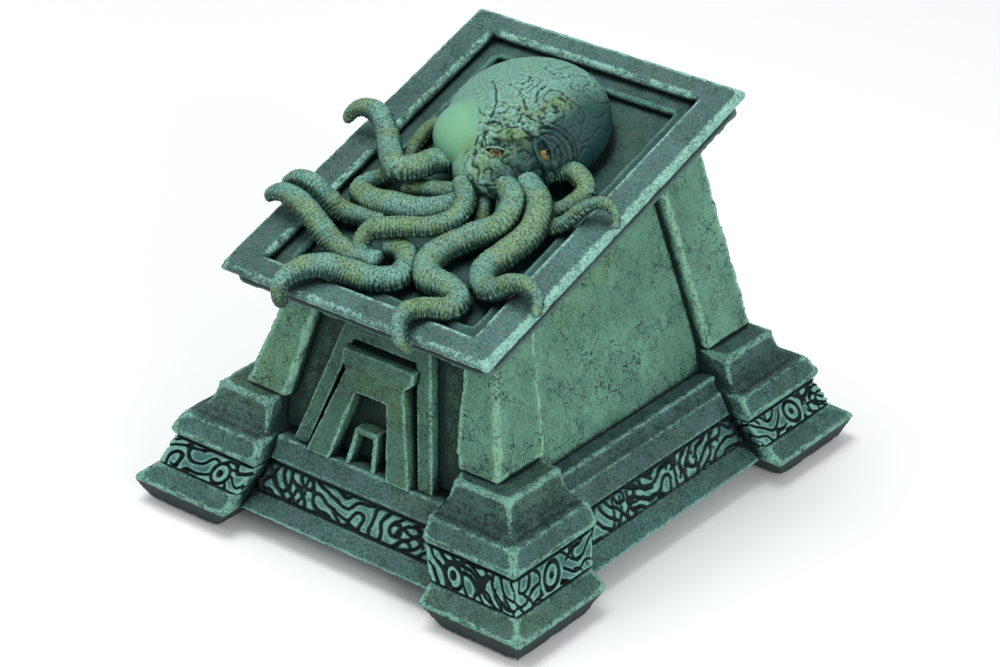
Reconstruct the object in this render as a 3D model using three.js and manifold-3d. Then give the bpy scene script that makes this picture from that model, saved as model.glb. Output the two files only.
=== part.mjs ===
// A dice tower cast in verdigris resin: a battered tomb on a stepped plinth with four corner feet,
// closed by a sloping lift-off lid that carries an octopus in high relief.
// Dice go in under the lid, cross two ramps and leave through the outlet at the foot of the rear wall.
// Millimetres, +Z up, +Y to the rear, origin in the middle of the footprint on the table.
import * as THREE from 'three';
import { mergeVertices } from 'three/addons/utils/BufferGeometryUtils.js';
import Module from 'manifold-3d';

const wasm = await Module();
wasm.setup();

// ---- Driving dimensions ----
const GAP = 0.3; // glue line between neighbouring castings
const PLINTH_W = 180;
const PLINTH_D = 202.4;

const PAD_H = 1; // felt pad under each foot
const PAD_R = 12;
const FOOT_H = 9;
const SLAB_H = 5.2;
const FRIEZE_H = 11.6;
const CORNICE_LIP_H = 2.4;
const CORNICE_H = 6.9;
const COVE_H = 11.8;
const BLOCK_CAP_H = 0.4; // the top of a corner block is almost level behind its ridge

const FOOT_INSET = 4; // insets run inward from the widest edge of the plinth
const SLAB_TOP_INSET = 6.7;
const FRIEZE_TOP_INSET = 11.6;
const CORNICE_INSET = 9.5;
const CORNICE_TOP_INSET = 13.8;
const RIDGE_INSET = 23;
const FOOT_RUN = 37.6; // length of a corner block along X, measured from the plinth's edge
const SLAB_RUN = 45;
const CORNICE_RUN = 51.5;
const CAP_DRAW = 3.6; // the cap of a corner block draws in by this at its inner ends
const RUN_EXTRA_Y = 4.2; // a corner block is this much longer along Y
const RUN_SETBACK = 8.5; // the runs between the corner blocks stand back by this
const RUN_FOOT_H = 2.5; // height of the bevel under a run, which hangs clear of the table
const RUN_COVE_H = 4.4; // small cove between a side run's cornice and the wall
const RUN_COVE_D = 4.6;

const BODY_INSET_SIDE = 31.6; // from the plinth's edge in to the foot of a pilaster
const BODY_INSET_FRONT = 28.2;
const BODY_INSET_REAR = 24.9;
const SIDE_BATTER = 0.3; // inward lean, mm per mm of height
const FRONT_BATTER = 0.33;
const REAR_BATTER = 0.1;
const PILASTER_W = 19.4; // width on the front face
const PILASTER_D = 26.3; // width on the side face
const PILASTER_LEAN = 0.17; // lean of a pilaster's inner edge on the front face
const FRONT_PILASTER_LEAN = 0.23; // lean of a front pilaster's rear edge
const RECESS = 5; // the panels stand back from the pilasters by this
const WALL = 6;

const FLOOR_T = 2.5;
const OUTLET_HALF_W = 30;
const OUTLET_H = 42;
const RAMP_T = 3;

const LID_SLOPE = THREE.MathUtils.degToRad(18.55);
const LID_FRONT_Z = 99.5; // height of the lid's front edge
const LID_OVERHANG_SIDE = 1.9; // past the foot of the pilasters
const LID_OVERHANG_FRONT = 9;
const LID_SHORT_REAR = 12.5; // the lid's rear edge stops this far in front of the rear pilasters' feet
const FRAME_T = 4.2;
const FRAME_SIDE = 13.5;
const FRAME_END = 10.4;
const FRAME_BEVEL = 1.1;
const LEDGE_T = 3;
const LEDGE_W = 6.5;
const TUCK = 3; // the ledge and panel reach this far under the frame
const PANEL_T = 2.7;
const RIM_INSET = 3; // the dark under-rim stands back from the frame's edge by this
const COLLAR_T = 4.2;
const COLLAR_OVERHANG = 1;
const LIP_DEPTH = 4;
const LIP_T = 3.5;
const LIP_CLEARANCE = 2;

// ---- Levels worked out from them ----
const slabEdgeZ = PAD_H + FOOT_H;
const slabTopZ = slabEdgeZ + SLAB_H;
const friezeTopZ = slabTopZ + FRIEZE_H;
const corniceEdgeZ = friezeTopZ + CORNICE_LIP_H;
const corniceTopZ = corniceEdgeZ + CORNICE_H;
const ridgeZ = corniceTopZ + COVE_H;
const bodyZ = ridgeZ + BLOCK_CAP_H;
const floorZ = slabEdgeZ + 1;
const outletTopZ = floorZ + OUTLET_H;
const halfW = PLINTH_W / 2;
const halfD = PLINTH_D / 2;
const bodyHalfW = halfW - BODY_INSET_SIDE;
const bodyFront = halfD - BODY_INSET_FRONT;
const bodyRear = halfD - BODY_INSET_REAR;
const chamberHalfW = bodyHalfW - RECESS - WALL; // dice chamber inside the plinth
const chamberFront = bodyFront - RECESS - WALL;
const chamberRear = bodyRear - RECESS - WALL;
const lidW = 2 * (bodyHalfW + LID_OVERHANG_SIDE);
const lidFrontY = -bodyFront - LID_OVERHANG_FRONT;
const lidDepth = bodyRear - LID_SHORT_REAR - lidFrontY; // measured level, not up the slope
const lidL = lidDepth / Math.cos(LID_SLOPE);
const rimBottom = -(FRAME_T + 2 * GAP + LEDGE_T + PANEL_T);
const collarTop = rimBottom - GAP;
const collarBottom = collarTop - COLLAR_T;
const bodyTop = collarBottom - GAP;

// Height, over a point y, of the plane that lies n above the top of the lid.
function lidPlane(n) {
  const level = LID_FRONT_Z + n / Math.cos(LID_SLOPE);
  return (y) => level + (y - lidFrontY) * Math.tan(LID_SLOPE);
}

// Planes of the body: x or y as a function of height. inset moves a plane into the body.
const sideX = (inset) => (z) => bodyHalfW - inset - SIDE_BATTER * (z - bodyZ);
const frontY = (inset) => (z) => -(bodyFront - inset) + FRONT_BATTER * (z - bodyZ);
const rearY = (inset) => (z) => bodyRear - inset - REAR_BATTER * (z - bodyZ);
const minus = (f) => (z) => -f(z);

// Height at which a battered face, y(z), meets a sloping plane, z(y).
function meet(y, level) {
  let z = level(0);
  for (let turn = 0; turn < 30; turn += 1) z = level(y(z));
  return z;
}

// A function of height that runs straight between the given [z, value] points.
function profile(points) {
  return (z) => {
    const i = Math.max(1, points.findIndex(([level]) => z <= level + 1e-9));
    const [a, b] = [points[i - 1], points[i]];
    return a[1] + ((b[1] - a[1]) * (z - a[0])) / (b[0] - a[0]);
  };
}

// ---- Solids ----
function toSolid(geometry) {
  const bare = geometry.clone();
  bare.deleteAttribute('normal');
  bare.deleteAttribute('uv');
  const merged = mergeVertices(bare, 1e-4);
  return new wasm.Manifold(
    new wasm.Mesh({
      numProp: 3,
      vertProperties: new Float32Array(merged.attributes.position.array),
      triVerts: new Uint32Array(merged.index.array),
    }),
  );
}

function toGeometry(solid) {
  const mesh = solid.getMesh();
  const geometry = new THREE.BufferGeometry();
  geometry.setAttribute('position', new THREE.BufferAttribute(mesh.vertProperties, 3));
  geometry.setIndex(new THREE.BufferAttribute(mesh.triVerts, 1));
  geometry.computeVertexNormals();
  return geometry;
}

// What is left of a solid after its cutters, without loose slivers.
function cut(geometry, ...cutters) {
  let solid = toSolid(geometry);
  for (const cutter of cutters) solid = solid.subtract(toSolid(cutter));
  const pieces = solid.decompose().sort((a, b) => b.volume() - a.volume());
  return toGeometry(pieces[0]);
}

const join = (a, b) => toGeometry(toSolid(a).add(toSolid(b)));
const fixed = (value) => (typeof value === 'function' ? value : () => value);

// A box with flat faces: x and y limits are numbers or functions of height, and each level is a
// height or a function of y, so that battered walls can end on the sloping plane of the lid.
function block(xs, ys, levels) {
  const geometry = new THREE.BoxGeometry(1, 1, 1, 1, 1, levels.length - 1);
  const position = geometry.attributes.position;
  const [xLow, xHigh, yLow, yHigh] = [...xs, ...ys].map(fixed);
  for (let i = 0; i < position.count; i += 1) {
    const x = position.getX(i) < 0 ? xLow : xHigh;
    const y = position.getY(i) < 0 ? yLow : yHigh;
    const step = Math.round((position.getZ(i) + 0.5) * (levels.length - 1));
    const z = meet(y, fixed(levels[step]));
    position.setXYZ(i, x(z), y(z), z);
  }
  geometry.computeVertexNormals();
  return geometry;
}

// ---- Assembly ----
const tower = new THREE.Group();
const lid = new THREE.Group();
lid.position.set(0, lidFrontY, LID_FRONT_Z);
lid.rotation.x = LID_SLOPE;
tower.add(lid);

const material = (color, roughness) => () =>
  new THREE.MeshStandardMaterial({ color, roughness, metalness: 0 });
const stone = material(0x5f8a78, 0.8);
const carved = material(0x3c6a62, 0.75);
const lidStone = material(0x6d8481, 0.7);
const darkResin = material(0x1d2f2d, 0.6);
const skin = material(0x79b596, 0.55);
const eyeGlaze = material(0xb8a03c, 0.2);
const innerResin = material(0x2c3a38, 0.85);
const felt = material(0x22282a, 1);

function add(group, name, geometry, finish) {
  const mesh = new THREE.Mesh(geometry, finish());
  mesh.name = name;
  group.add(mesh);
}

// ---- Body: edges of the panels, a glue line clear of the pilasters ----
const rise = (z) => z - bodyZ;
const pilasterInnerX = (z) => bodyHalfW - PILASTER_W - PILASTER_LEAN * rise(z) - GAP;
const pilasterRearY = (z) => -(bodyFront - PILASTER_D) + FRONT_PILASTER_LEAN * rise(z) + GAP;
const pilasterFrontY = (z) => rearY(PILASTER_D)(z) - GAP;

const panelLevels = [bodyZ, lidPlane(bodyTop)];

// ---- Plinth: corner blocks ----
const chamberLow = block(
  [-chamberHalfW, chamberHalfW],
  [-chamberFront, chamberRear],
  [floorZ - FLOOR_T - GAP, bodyZ + 1],
);
const chamberHigh = block(
  [minus(sideX(RECESS + WALL)), sideX(RECESS + WALL)],
  [frontY(RECESS + WALL), rearY(RECESS + WALL)],
  [bodyZ - 1, lidPlane(0)],
);

// Concave sweep from the cornice up to the ridge, as [z, inset] points.
const COVE_STEPS = 5;
const cove = Array.from({ length: COVE_STEPS + 1 }, (_, i) => {
  const angle = (i / COVE_STEPS) * (Math.PI / 2);
  const inset = CORNICE_TOP_INSET + (RIDGE_INSET - CORNICE_TOP_INSET) * Math.sin(angle);
  return [corniceTopZ + COVE_H * (1 - Math.cos(angle)), inset];
});

const footLevels = [...cove.map(([z]) => z), bodyZ];

// Distance of a corner block's inner end from the plinth's edge, along X.
const cornerRun = profile([
  [PAD_H, FOOT_RUN],
  [slabEdgeZ, SLAB_RUN],
  [slabTopZ, SLAB_RUN],
  [corniceEdgeZ, CORNICE_RUN],
  ...cove.map(([z, inset]) => {
    const share = (inset - CORNICE_TOP_INSET) / (RIDGE_INSET - CORNICE_TOP_INSET);
    return [z, CORNICE_RUN - CAP_DRAW * share];
  }),
  [bodyZ, CORNICE_RUN - CAP_DRAW],
]);

const toward = (sign, inner, outer) => (sign > 0 ? [inner, outer] : [minus(outer), minus(inner)]);

// One layer of a corner block: outline gives [z, inset] points up its outer sides.
function cornerLayer(sx, sy, outline) {
  const inset = profile(outline);
  const xs = toward(sx, (z) => halfW - cornerRun(z), (z) => halfW - inset(z));
  const ys = toward(sy, (z) => halfD - cornerRun(z) - RUN_EXTRA_Y, (z) => halfD - inset(z));
  return block(xs, ys, outline.map(([z]) => z));
}

function pilaster(sx, sy) {
  const xs = toward(sx, (z) => pilasterInnerX(z) + GAP, sideX(0));
  const ys = sy < 0
    ? [frontY(0), (z) => pilasterRearY(z) - GAP]
    : [rearY(PILASTER_D), rearY(0)];
  return cut(block(xs, ys, panelLevels), chamberHigh);
}

// The cap of a corner block draws in from the ridge to the foot of its pilaster.
function cornerCap(sx, sy) {
  const capX = profile([...cove, [bodyZ, halfW - bodyHalfW]]);
  const capY = profile([...cove, [bodyZ, halfD - (sy < 0 ? bodyFront : bodyRear)]]);
  const lip = [[friezeTopZ, FRIEZE_TOP_INSET], [corniceEdgeZ, CORNICE_INSET]];
  const below = profile([...lip, cove[0]]);
  const outer = (half, above) => (z) => half - (z <= corniceTopZ ? below(z) : above(z));
  const xs = toward(sx, (z) => halfW - cornerRun(z), outer(halfW, capX));
  const ys = toward(sy, (z) => halfD - cornerRun(z) - RUN_EXTRA_Y, outer(halfD, capY));
  const levels = [friezeTopZ, corniceEdgeZ, ...cove.map(([z]) => z), bodyZ];
  return cut(block(xs, ys, levels), chamberLow);
}

function feltPad(sx, sy) {
  const pad = new THREE.CylinderGeometry(PAD_R, PAD_R, PAD_H, 24);
  pad.rotateX(Math.PI / 2);
  const middle = (FOOT_INSET + FOOT_RUN) / 2;
  pad.translate(sx * (halfW - middle), sy * (halfD - middle - RUN_EXTRA_Y / 2), PAD_H / 2);
  return pad;
}

for (const [place, sx, sy] of [
  ['front_left', -1, -1],
  ['front_right', 1, -1],
  ['rear_left', -1, 1],
  ['rear_right', 1, 1],
]) {
  const foot = [[PAD_H, FOOT_INSET], [slabEdgeZ, 0], [slabTopZ, SLAB_TOP_INSET]];
  const frieze = [[slabTopZ, SLAB_TOP_INSET], [friezeTopZ, FRIEZE_TOP_INSET]];
  add(tower, `felt_pad_${place}`, feltPad(sx, sy), felt);
  add(tower, `corner_foot_${place}`, cut(cornerLayer(sx, sy, foot), chamberLow), stone);
  add(tower, `corner_frieze_${place}`, cut(cornerLayer(sx, sy, frieze), chamberLow), carved);
  add(tower, `corner_cornice_${place}`, cornerCap(sx, sy), stone);
  add(tower, `pilaster_${place}`, pilaster(sx, sy), stone);
}

// ---- Plinth: runs between the corner blocks ----
const runOutline = [
  [slabEdgeZ - RUN_FOOT_H, FOOT_INSET + RUN_SETBACK],
  [slabEdgeZ, RUN_SETBACK],
  [slabTopZ, SLAB_TOP_INSET + RUN_SETBACK],
  [friezeTopZ, FRIEZE_TOP_INSET + RUN_SETBACK],
  [corniceEdgeZ, CORNICE_INSET + RUN_SETBACK],
  [corniceTopZ, CORNICE_TOP_INSET + RUN_SETBACK],
];
const runInset = profile(runOutline);
const runLevels = runOutline.map(([z]) => z);
const runEndX = (z) => halfW - cornerRun(z) - GAP;
const runEndY = (z) => halfD - cornerRun(z) - RUN_EXTRA_Y - GAP;
const runFaceX = (z) => halfW - runInset(z);
const runFaceY = (z) => halfD - runInset(z);

add(
  tower,
  'plinth_run_front',
  block([minus(runEndX), runEndX], [minus(runFaceY), -chamberFront - GAP], runLevels),
  carved,
);
// The cove rises from the cornice's top edge to a sharp ridge just outside the wall.
const runCove = [0, 0.5, 0.85, 1].map((u) => [
  corniceTopZ + RUN_COVE_H * (1 - Math.sqrt(1 - u * u)),
  CORNICE_TOP_INSET + RUN_SETBACK + RUN_COVE_D * u,
]);
const runCoveInset = profile(runCove);
for (const [side, sx] of [['left', -1], ['right', 1]]) {
  const ys = [minus(runEndY), runEndY];
  const moulding = block(toward(sx, fixed(chamberHalfW + GAP), runFaceX), ys, runLevels);
  const coveBack = (z) => sideX(RECESS)(z) + GAP;
  const coveStrip = block(
    toward(sx, coveBack, (z) => halfW - runCoveInset(z)),
    ys,
    runCove.map(([z]) => z),
  );
  const stub = block(
    toward(sx, fixed(OUTLET_HALF_W), runEndX),
    [chamberRear + GAP, runFaceY],
    runLevels,
  );
  add(tower, `plinth_run_${side}`, join(moulding, coveStrip), carved);
  add(tower, `plinth_run_rear_${side}`, stub, carved);
}

// ---- Walls: recessed panels between the corner blocks below and the pilasters above ----
function endWall(ys) {
  const foot = block([minus(runEndX), runEndX], ys, footLevels);
  return join(foot, block([minus(pilasterInnerX), pilasterInnerX], ys, panelLevels));
}

function sideWall(sx) {
  const xs = toward(sx, sideX(RECESS + WALL), sideX(RECESS));
  const foot = block(xs, [minus(runEndY), runEndY], footLevels);
  return join(foot, block(xs, [pilasterRearY, pilasterFrontY], panelLevels));
}

const outlet = block(
  [-OUTLET_HALF_W, OUTLET_HALF_W],
  [chamberRear - WALL, halfD],
  [floorZ, outletTopZ],
);
add(tower, 'front_wall', endWall([frontY(RECESS), frontY(RECESS + WALL)]), stone);
add(tower, 'rear_wall', cut(endWall([rearY(RECESS + WALL), rearY(RECESS)]), outlet), stone);
add(tower, 'left_wall', sideWall(-1), stone);
add(tower, 'right_wall', sideWall(1), stone);
const collar = block(
  [minus(sideX(-COLLAR_OVERHANG)), sideX(-COLLAR_OVERHANG)],
  [frontY(-COLLAR_OVERHANG), rearY(-COLLAR_OVERHANG)],
  [lidPlane(collarBottom), lidPlane(collarTop)],
);
add(tower, 'top_collar', cut(collar, chamberHigh), darkResin);

// ---- False door on the front wall ----
const DOOR_HALF_W = 23.6; // at its foot
const DOOR_NECK_HALF_W = 13.2;
const DOOR_HEAD_HALF_W = 16.3;
const DOOR_HEAD_H = 4.5; // the doorway's flared head
const DOOR_FLARE_H = 2.4;
const DOOR_LINTEL_H = 13.5; // from the doorway's top down to its opening
const DOOR_CLEAR = 2.2; // between the doorway and the surround's lintel
const DOOR_OPENING_HALF_W = [13.4, 7.1]; // foot, top
const DOOR_PROUD = 3; // the doorway stands out past the pilasters by this
const SURROUND_HALF_W = 32;
const SURROUND_W = 6.5;
const SURROUND_LEAN = 0.277;
const SURROUND_LINTEL_H = 14.3; // how far the surround's lintel hangs below the wall's top
const NICHE_HALF_W = [6.9, 5.1];
const NICHE_H = 13;
const NICHE_W = 1.8;

const doorZ = corniceTopZ;
const lintelZ = meet(frontY(0), lidPlane(bodyTop)) - SURROUND_LINTEL_H;
const doorTopZ = lintelZ - DOOR_CLEAR;
const doorHeadZ = doorTopZ - DOOR_HEAD_H;
const doorNeckZ = doorHeadZ - DOOR_FLARE_H;
const doorOpeningZ = doorTopZ - DOOR_LINTEL_H;
const doorBack = frontY(RECESS - GAP);
function doorway(grow) {
  const half = profile([
    [doorZ, DOOR_HALF_W],
    [doorNeckZ, DOOR_NECK_HALF_W],
    [doorHeadZ, DOOR_HEAD_HALF_W],
    [doorTopZ, DOOR_HEAD_HALF_W],
  ]);
  const levels = [doorZ, doorNeckZ, doorHeadZ, doorTopZ];
  const x = (z) => half(z) + grow;
  return block([minus(x), x], [frontY(-DOOR_PROUD), doorBack], levels);
}
const surroundX = (z) => SURROUND_HALF_W - SURROUND_LEAN * (z - doorZ);
const surroundIn = (z) => surroundX(z) - SURROUND_W;
const surround = block([minus(surroundX), surroundX], [frontY(0), doorBack],
  [doorZ, lidPlane(bodyTop)]);
const surroundOpening = block([minus(surroundIn), surroundIn], [-halfD, 0],
  [doorZ - 1, lintelZ]);
const openingX = profile([
  [doorZ - 1, DOOR_OPENING_HALF_W[0]],
  [doorOpeningZ, DOOR_OPENING_HALF_W[1]],
]);
const doorOpening = block([minus(openingX), openingX], [-halfD, 0],
  [doorZ - 1, doorOpeningZ]);
const nicheX = profile([[doorZ - 1, NICHE_HALF_W[0]], [doorZ + NICHE_H, NICHE_HALF_W[1]]]);
const nicheIn = (z) => nicheX(z) - NICHE_W;
const niche = block([minus(nicheX), nicheX], [frontY(-DOOR_PROUD / 2), doorBack],
  [doorZ, doorZ + NICHE_H]);
const nicheOpening = block([minus(nicheIn), nicheIn], [-halfD, 0],
  [doorZ - 1, doorZ + NICHE_H - NICHE_W]);

add(tower, 'door_surround', cut(surround, surroundOpening, doorway(GAP)), stone);
add(tower, 'doorway', cut(doorway(0), doorOpening), stone);
add(tower, 'niche_frame', cut(niche, nicheOpening), stone);

// ---- Dice path ----
const floorX = chamberHalfW - GAP;
const floorLevels = [floorZ - FLOOR_T, floorZ];
const sill = block(
  [-OUTLET_HALF_W + GAP, OUTLET_HALF_W - GAP],
  [0, halfD - SLAB_TOP_INSET - RUN_SETBACK],
  floorLevels,
);
const floor = block([-floorX, floorX], [-chamberFront + GAP, chamberRear - GAP], floorLevels);
add(tower, 'chamber_floor', join(floor, sill), innerResin);

const UPPER_RAMP_GAP = 3.3; // between the ramp's high end and the foot of the chamber's rear
const UPPER_FALL = 44; // between its low end and the foot of the chamber's front
const LOWER_RAMP_GAP = 5; // between the ramp's high end and the foot of the chamber's front
const LOWER_FALL = 23.3; // between its low end and the foot of the chamber's rear
const UPPER_RAMP = { // [y, z] at each end, on its top face
  high: [chamberRear - UPPER_RAMP_GAP, 100],
  low: [UPPER_FALL - chamberFront, 66],
};
const LOWER_RAMP = {
  high: [LOWER_RAMP_GAP - chamberFront, 44],
  low: [chamberRear - LOWER_FALL, 12.5],
};
const LEDGER_W = 4;
const LEDGER_H = 5;

// Height, over y, of a ramp's top face lowered by drop.
function rampPlane({ high, low }, drop) {
  const fall = (high[1] - low[1]) / (high[0] - low[0]);
  return (y) => low[1] - drop + (y - low[0]) * fall;
}
const chamberX = (clear) => (z) => Math.min(chamberHalfW, sideX(RECESS + WALL)(z)) - clear;

const upperY = [UPPER_RAMP.low[0], UPPER_RAMP.high[0] - REAR_BATTER * (UPPER_RAMP.high[1] - bodyZ)];
const upperRamp = block([minus(chamberX(GAP)), chamberX(GAP)], upperY,
  [rampPlane(UPPER_RAMP, RAMP_T), rampPlane(UPPER_RAMP, 0)]);
const lowerHalf = chamberHalfW - GAP;
const lowerRamp = block([-lowerHalf, lowerHalf], [LOWER_RAMP.high[0], LOWER_RAMP.low[0]],
  [rampPlane(LOWER_RAMP, RAMP_T), rampPlane(LOWER_RAMP, 0)]);
const belowFloor = block([-halfW, halfW], [-halfD, halfD], [0, floorZ + GAP]);
add(tower, 'upper_ramp', upperRamp, innerResin);
add(tower, 'lower_ramp', cut(lowerRamp, belowFloor), innerResin);
for (const [side, sx] of [['left', -1], ['right', 1]]) {
  const ledger = block(
    toward(sx, chamberX(GAP + LEDGER_W), chamberX(GAP)),
    upperY,
    [rampPlane(UPPER_RAMP, RAMP_T + GAP + LEDGER_H), rampPlane(UPPER_RAMP, RAMP_T + GAP)],
  );
  add(tower, `ramp_ledger_${side}`, ledger, innerResin);
}

// ---- Lid, in its own frame: x across, y up the slope from the front edge, z out of the face ----
// A rectangle whose sides stand in from the lid's edges: side along x, end along y.
function outlinePath(side, end, Kind) {
  const path = new Kind();
  path.moveTo(-lidW / 2 + side, end);
  path.lineTo(lidW / 2 - side, end);
  path.lineTo(lidW / 2 - side, lidL - end);
  path.lineTo(-lidW / 2 + side, lidL - end);
  path.closePath();
  return path;
}

function lidLayer([side, end], opening, bottom, top, bevel = 0) {
  const shape = outlinePath(side + bevel, end + bevel, THREE.Shape);
  if (opening) shape.holes.push(outlinePath(opening[0] - bevel, opening[1] - bevel, THREE.Path));
  const geometry = new THREE.ExtrudeGeometry(shape, {
    depth: top - bottom - 2 * bevel,
    bevelEnabled: bevel > 0,
    bevelThickness: bevel,
    bevelSize: bevel,
    bevelSegments: 1,
  });
  geometry.translate(0, 0, bottom + bevel);
  return geometry;
}

const ledgeTop = -FRAME_T - GAP;
const ledgeBottom = ledgeTop - LEDGE_T;
const panelTop = ledgeBottom - GAP;
const panelEdge = [FRAME_SIDE - TUCK, FRAME_END - TUCK];
const ledgeOpening = [FRAME_SIDE + LEDGE_W, FRAME_END + LEDGE_W];
const frameLayer = (grow) =>
  lidLayer([-grow, -grow], [FRAME_SIDE + grow, FRAME_END + grow], -FRAME_T - grow, grow,
    grow ? 0 : FRAME_BEVEL);
const ledgeLayer = (grow) =>
  lidLayer(panelEdge, ledgeOpening.map((v) => v + grow), ledgeBottom, ledgeTop + grow);
const panelLayer = (grow) => lidLayer(panelEdge, null, rimBottom, panelTop + grow);
const rimLayer = (grow) =>
  lidLayer([RIM_INSET - grow, RIM_INSET - grow], panelEdge.map((v) => v - GAP), rimBottom, ledgeTop);
const lidClear = [frameLayer(GAP), ledgeLayer(GAP), panelLayer(GAP), rimLayer(GAP)];

add(lid, 'lid_frame', frameLayer(0), lidStone);
add(lid, 'lid_ledge', ledgeLayer(0), lidStone);
add(lid, 'lid_panel', panelLayer(0), darkResin);
add(lid, 'lid_under_rim', rimLayer(0), darkResin);

// The locating lip drops inside the collar. Its outline is the mouth of the chamber less a clearance.
function lipOutline(inset, Kind) {
  const corners = [frontY, rearY].map((plane) => {
    const inner = plane(RECESS + WALL);
    const z = meet(inner, lidPlane(collarTop));
    const along = (inner(z) - lidFrontY) * Math.cos(LID_SLOPE)
      + (z - LID_FRONT_Z) * Math.sin(LID_SLOPE);
    return [sideX(RECESS + WALL)(z) - inset, along];
  });
  const [[frontX, front], [rearX, rear]] = corners;
  const path = new Kind();
  path.moveTo(-frontX, front + inset);
  path.lineTo(frontX, front + inset);
  path.lineTo(rearX, rear - inset);
  path.lineTo(-rearX, rear - inset);
  path.closePath();
  return path;
}
const lipShape = lipOutline(LIP_CLEARANCE, THREE.Shape);
lipShape.holes.push(lipOutline(LIP_CLEARANCE + LIP_T, THREE.Path));
const lip = new THREE.ExtrudeGeometry(lipShape, { depth: LIP_DEPTH, bevelEnabled: false });
lip.translate(0, 0, rimBottom - GAP - LIP_DEPTH);
add(lid, 'lid_lip', lip, darkResin);

// ---- Octopus head ----
// The octopus was laid out on a lid of this width and level depth. It stretches with the lid, so
// that it keeps its place on the panel, the ledge and the frame.
const LAID_OUT_W = 120.6;
const LAID_OUT_DEPTH = 145.8;
const onLid = ([across, up, out]) =>
  [(across * lidW) / LAID_OUT_W, (up * lidDepth) / LAID_OUT_DEPTH, out];
const MANTLE = { at: onLid([0, 104, 2]), size: onLid([31, 30, 19]) };
const MUZZLE = { at: onLid([4, 80, 1]), size: onLid([17, 14, 10]) };
const EYE_R = 2.8;
const EYES = { left: onLid([7, 79, 10.8]), right: onLid([22.6, 87, 9]) };

function ball([x, y, z], [a, b, c], around, up) {
  const geometry = new THREE.SphereGeometry(1, around, up);
  geometry.rotateX(Math.PI / 2);
  geometry.scale(a, b, c);
  geometry.translate(x, y, z);
  return geometry;
}
const grown = ({ at, size }, grow) => ball(at, size.map((v) => v + grow), 24, 14);
const headSolid = (grow) => join(grown(MANTLE, grow), grown(MUZZLE, grow));
const eyeSolid = (at, grow) => ball(at, [EYE_R, EYE_R, EYE_R].map((v) => v + grow), 12, 8);
const eyeSockets = Object.values(EYES).map((at) => eyeSolid(at, GAP));
add(lid, 'octopus_head', cut(headSolid(0), ...lidClear, ...eyeSockets), skin);
for (const [side, at] of Object.entries(EYES)) add(lid, `eye_${side}`, eyeSolid(at, 0), eyeGlaze);

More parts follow.
